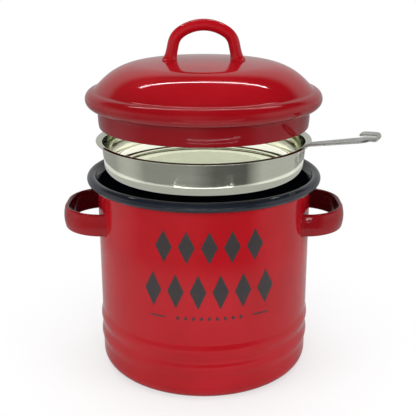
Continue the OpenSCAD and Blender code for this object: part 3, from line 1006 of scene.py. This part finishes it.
def plain_floor():
    """Pale floor, whiter to the camera. In gloss the studio shows in place of all but its middle."""
    material, tree, shader = start_material("pale_floor")
    shader.inputs["Base Color"].default_value = (0.9, 0.9, 0.9, 1)
    shader.inputs["Roughness"].default_value = 0.9
    shader.inputs["Specular IOR Level"].default_value = 0.0
    place = add_node(tree, "ShaderNodeTexCoord")
    way = add_node(
        tree, "ShaderNodeVectorMath", {"operation": "NORMALIZE"}, links={0: place.outputs["Object"]},
    )
    distance = add_node(
        tree, "ShaderNodeVectorMath", {"operation": "LENGTH"}, links={0: place.outputs["Object"]},
    )
    studio = place_group(tree, STUDIO, {})
    tree.links.new(way.outputs["Vector"], studio.inputs["Direction"])
    near = add_node(tree, "ShaderNodeBsdfDiffuse", values={"Color": (0.5, 0.5, 0.5, 1)})
    beyond = add_node(tree, "ShaderNodeEmission", {}, {"Strength": 0.72}, {"Color": studio.outputs["Value"]})
    edge = add_node(
        tree, "ShaderNodeMapRange", {"interpolation_type": "SMOOTHSTEP"},
        {"From Min": 0.22, "From Max": 0.30}, {"Value": distance.outputs["Value"]},
    )
    seen = add_node(tree, "ShaderNodeMixShader", links={0: edge.outputs["Result"]})
    tree.links.new(near.outputs[0], seen.inputs[1])
    tree.links.new(beyond.outputs[0], seen.inputs[2])
    # To the camera it whitens away from the object, with no horizon
    white = add_node(tree, "ShaderNodeEmission", values={"Color": (1.0, 1.0, 1.0, 1)})
    away = add_node(
        tree, "ShaderNodeMapRange", {"interpolation_type": "SMOOTHSTEP"},
        {"From Min": 0.05, "From Max": 0.2, "To Min": 0.55}, {"Value": distance.outputs["Value"]},
    )
    plain = add_node(tree, "ShaderNodeMixShader", links={0: away.outputs["Result"]})
    tree.links.new(shader.outputs[0], plain.inputs[1])
    tree.links.new(white.outputs[0], plain.inputs[2])
    path = add_node(tree, "ShaderNodeLightPath")
    bounced = add_node(tree, "ShaderNodeMixShader", links={0: path.outputs["Is Glossy Ray"]})
    tree.links.new(shader.outputs[0], bounced.inputs[1])
    tree.links.new(seen.outputs[0], bounced.inputs[2])
    both = add_node(tree, "ShaderNodeMixShader", links={0: path.outputs["Is Camera Ray"]})
    tree.links.new(bounced.outputs[0], both.inputs[1])
    tree.links.new(plain.outputs[0], both.inputs[2])
    tree.links.new(both.outputs[0], tree.nodes["Material Output"].inputs["Surface"])
    return material


# The studio's panels from left to right, as (x of a direction, brightness): a bright one on each side, a grey
# one front left and a dark gap front right
PANELS = ((-1.0, 0.7), (-0.9, 0.4), (-0.2, 0.4), (0.2, 0.15), (0.7, 0.15), (0.9, 0.7), (1.0, 0.7))
STUDIO = studio_group()
RIPPLE = ripple_group()
GLAZE = glaze_group()
RUBBED = rubbed_group()
HEIGHT = height_group()
LOOP = loop_group()
RED_FINISH = ((0.10, 0.0, 0.0, 1), (0.05, 0.11), (26.0, 0.10))
RED_LOOK = ((0.335, 0.004, 0.009, 1), (0.285, 0.0025, 0.006, 1)) + RED_FINISH
RED_ENAMEL = enamel("red_enamel", *RED_LOOK, ior=1.45)
# The lid's red is painted darker towards its collar, a painted shade for less light from above
LID_ENAMEL = enamel(
    "lid_enamel", *RED_LOOK, ior=1.45,
    shade=(HEIGHT, {"Low": (LID_Z + 8.0) * MM, "High": (LID_Z + 38.0) * MM}, (0.155, 0.0015, 0.004, 1)),
)
# The loops' red is a darker copy of the body's red, a painted shade; their inner face gets darker painted
# shade
LOOP_LOOK = ((0.21, 0.002, 0.005, 1), (0.17, 0.0015, 0.004, 1)) + RED_FINISH
LOOP_ENAMEL = enamel("loop_enamel", *LOOP_LOOK, ior=1.45, shade=(LOOP, {}, (0.05, 0.0015, 0.003, 1)))
BLACK_ENAMEL = enamel(
    "black_enamel", (0.010, 0.013, 0.019, 1), (0.006, 0.008, 0.013, 1), (0.05, 0.05, 0.055, 1),
    (0.06, 0.12), (40.0, 0.08),
)
POLISHED_STEEL = steel(
    "polished_steel", (0.82, 0.84, 0.70), (0.05, 0.12), (1.0, 1.0, 9.0), 60.0, (36.0, 300.0, 0.16),
)
SATIN_STEEL = steel(
    "satin_steel", (0.70, 0.71, 0.66), (0.22, 0.36), (1.0, 9.0, 9.0), 160.0, (90.0, 700.0, 0.1),
)
PRINT_INK = printed_ink("print_ink")


# ---------------------------------------------------------------- build
canister_wall = lathe("canister_wall", wall_outline())
canister_inside = lathe("canister_inside", lining_outline())
strainer_pan = lathe("strainer_pan", bowl_outline())
lid_dome = lathe("lid_dome", lid_outline())
lid_inside = lathe("lid_inside", lid_lining_outline())
lid_band = lathe("lid_band", collar_outline())
right_strap = make_strap("right_strap")
left_strap = mirrored_copy(right_strap, "left_strap")
strainer_floor = make_screen("strainer_floor")
strainer_bar = make_bar("strainer_bar")
lid_arch = make_arch("lid_arch")
front_ornament = make_print("front_ornament", canister_wall)

finish(canister_wall, "canister", ["canister_shell"], RED_ENAMEL)
finish(canister_inside, "canister", ["canister_lining"], BLACK_ENAMEL)
finish(right_strap, "canister", ["right_handle"], LOOP_ENAMEL)
finish(left_strap, "canister", ["left_handle"], LOOP_ENAMEL)
finish(front_ornament, "canister", [], PRINT_INK)
finish(strainer_pan, "strainer", ["strainer_bowl"], POLISHED_STEEL)
finish(strainer_floor, "strainer", ["strainer_screen"], POLISHED_STEEL)
finish(strainer_bar, "strainer", ["strainer_handle"], SATIN_STEEL)
finish(lid_dome, "lid", ["lid_shell"], LID_ENAMEL)
finish(lid_inside, "lid", ["lid_lining"], BLACK_ENAMEL)
finish(lid_band, "lid", ["lid_collar"], LID_ENAMEL)
finish(lid_arch, "lid", ["lid_handle"], RED_ENAMEL)
for node in ("strainer_bracket", "strainer_welds"):
    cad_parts[node].data.materials.clear()
    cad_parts[node].data.materials.append(SATIN_STEEL)

# ---------------------------------------------------------------- floor, light and camera
bpy.ops.object.select_all(action="DESELECT")
bpy.ops.mesh.primitive_plane_add(size=2.4)
floor = bpy.context.object
floor.name = "floor"
floor.data.materials.append(plain_floor())


def softbox(name, place, aim, width, height, power):
    """A rectangular area light at a place, turned towards a point."""
    light = bpy.data.lights.new(name, "AREA")
    light.shape = "RECTANGLE"
    light.size = width
    light.size_y = height
    light.energy = power
    lamp = bpy.data.objects.new(name, light)
    lamp.location = place
    lamp.rotation_euler = (Vector(aim) - Vector(place)).to_track_quat("-Z", "Y").to_euler()
    bpy.context.collection.objects.link(lamp)
    return lamp


def unseen(lamp, diffuse=True, glossy=True):
    """Hide a light from the camera, and from the kinds of ray that it isn't for."""
    lamp.visible_camera = False
    lamp.visible_diffuse = diffuse
    lamp.visible_glossy = glossy


MIDDLE = (0.0, 0.0, 0.11)
# Fills light the surfaces and stay out of gloss: (name, place, width, height, power), in metres and watts
FILLS = (
    ("front_fill", (0.0, -1.3, 0.7), 1.2, 1.0, 12.0),
    ("overhead_fill", (0.0, 0.2, 1.5), 1.6, 1.6, 19.0),
    ("side_fill", (-1.2, -0.7, 0.5), 0.8, 0.8, 8.5),
    ("side_fill", (1.2, -0.7, 0.5), 0.8, 0.8, 8.5),
)
# Glints show in gloss alone: (name, place, aim, width, height, power). A strip behind and above draws the arc
# over the dome. The thin bars low in front stand for a window's glints on the lid's collar, where they are
# faint, and on its bead, where they hardly show
GLINTS = (
    ("shoulder_strip", (0.0, 0.52, 1.25), MIDDLE, 1.5, 0.03, 4.0),
    ("window_bar", (0.036, -0.207, 0.111), (0.02, 0.0, 0.158), 0.186, 0.001, 0.010),
    ("window_bar", (0.036, -0.207, 0.0893), (0.02, 0.0, 0.158), 0.186, 0.001, 0.007),
    ("bead_glint", (0.0, -0.11, 0.105), (0.0, -0.07, 0.17), 0.10, 0.0008, 0.003),
)
# Discs on the axis: (name, height, aim, width, power, whether it lights the surfaces). One lights the
# strainer from inside it, and one at the canister's rim shows in the gloss low on the pan
DISCS = (
    ("gap_light", (LID_Z - 9.0) * MM, (0.0, 0.0, 0.0), 0.118, 0.04, True),
    ("mouth_glow", 0.1265, (0.0, 0.0, 1.0), 0.150, 0.027, False),
)
for name, place, width, height, power in FILLS:
    unseen(softbox(name, place, MIDDLE, width, height, power), glossy=False)
for name, place, aim, width, height, power in GLINTS:
    unseen(softbox(name, place, aim, width, height, power), diffuse=False)
for name, up, aim, width, power, lights in DISCS:
    lamp = softbox(name, (0.0, 0.0, up), aim, width, width, power)
    lamp.data.shape = "DISK"
    unseen(lamp, diffuse=lights)


def studio_world():
    """The studio to every ray but the camera's, which sees plain white."""
    world = bpy.data.worlds.new("studio")
    world.use_nodes = True
    tree = world.node_tree
    way = add_node(tree, "ShaderNodeTexCoord")
    studio = place_group(tree, STUDIO, {})
    tree.links.new(way.outputs["Generated"], studio.inputs["Direction"])
    backdrop = add_node(tree, "ShaderNodeBackground", links={"Color": studio.outputs["Value"]})
    plain = tree.nodes["Background"]
    plain.inputs["Color"].default_value = (1.0, 1.0, 1.0, 1)
    plain.inputs["Strength"].default_value = 1.0
    path = add_node(tree, "ShaderNodeLightPath")
    both = add_node(tree, "ShaderNodeMixShader", links={0: path.outputs["Is Camera Ray"]})
    tree.links.new(backdrop.outputs[0], both.inputs[1])
    tree.links.new(plain.outputs[0], both.inputs[2])
    tree.links.new(both.outputs[0], tree.nodes["World Output"].inputs["Surface"])
    return world


bpy.context.scene.world = studio_world()
bpy.context.scene.view_settings.view_transform = "Standard"

# The camera, as fitted to the canister's outline
FRAME_PX = 416
FOCAL_PX = 788.9
SENSOR = 36.0
CAMERA_AT = (0.0026, -0.480, 0.2579)
CAMERA_DIP = radians(18.19)
camera_data = bpy.data.cameras.new("camera")
camera_data.sensor_fit = "HORIZONTAL"
camera_data.sensor_width = SENSOR
camera_data.lens = FOCAL_PX / FRAME_PX * SENSOR
camera = bpy.data.objects.new("camera", camera_data)
camera.location = CAMERA_AT
camera.rotation_euler = (pi / 2 - CAMERA_DIP, 0, 0)
bpy.context.collection.objects.link(camera)
bpy.context.scene.camera = camera
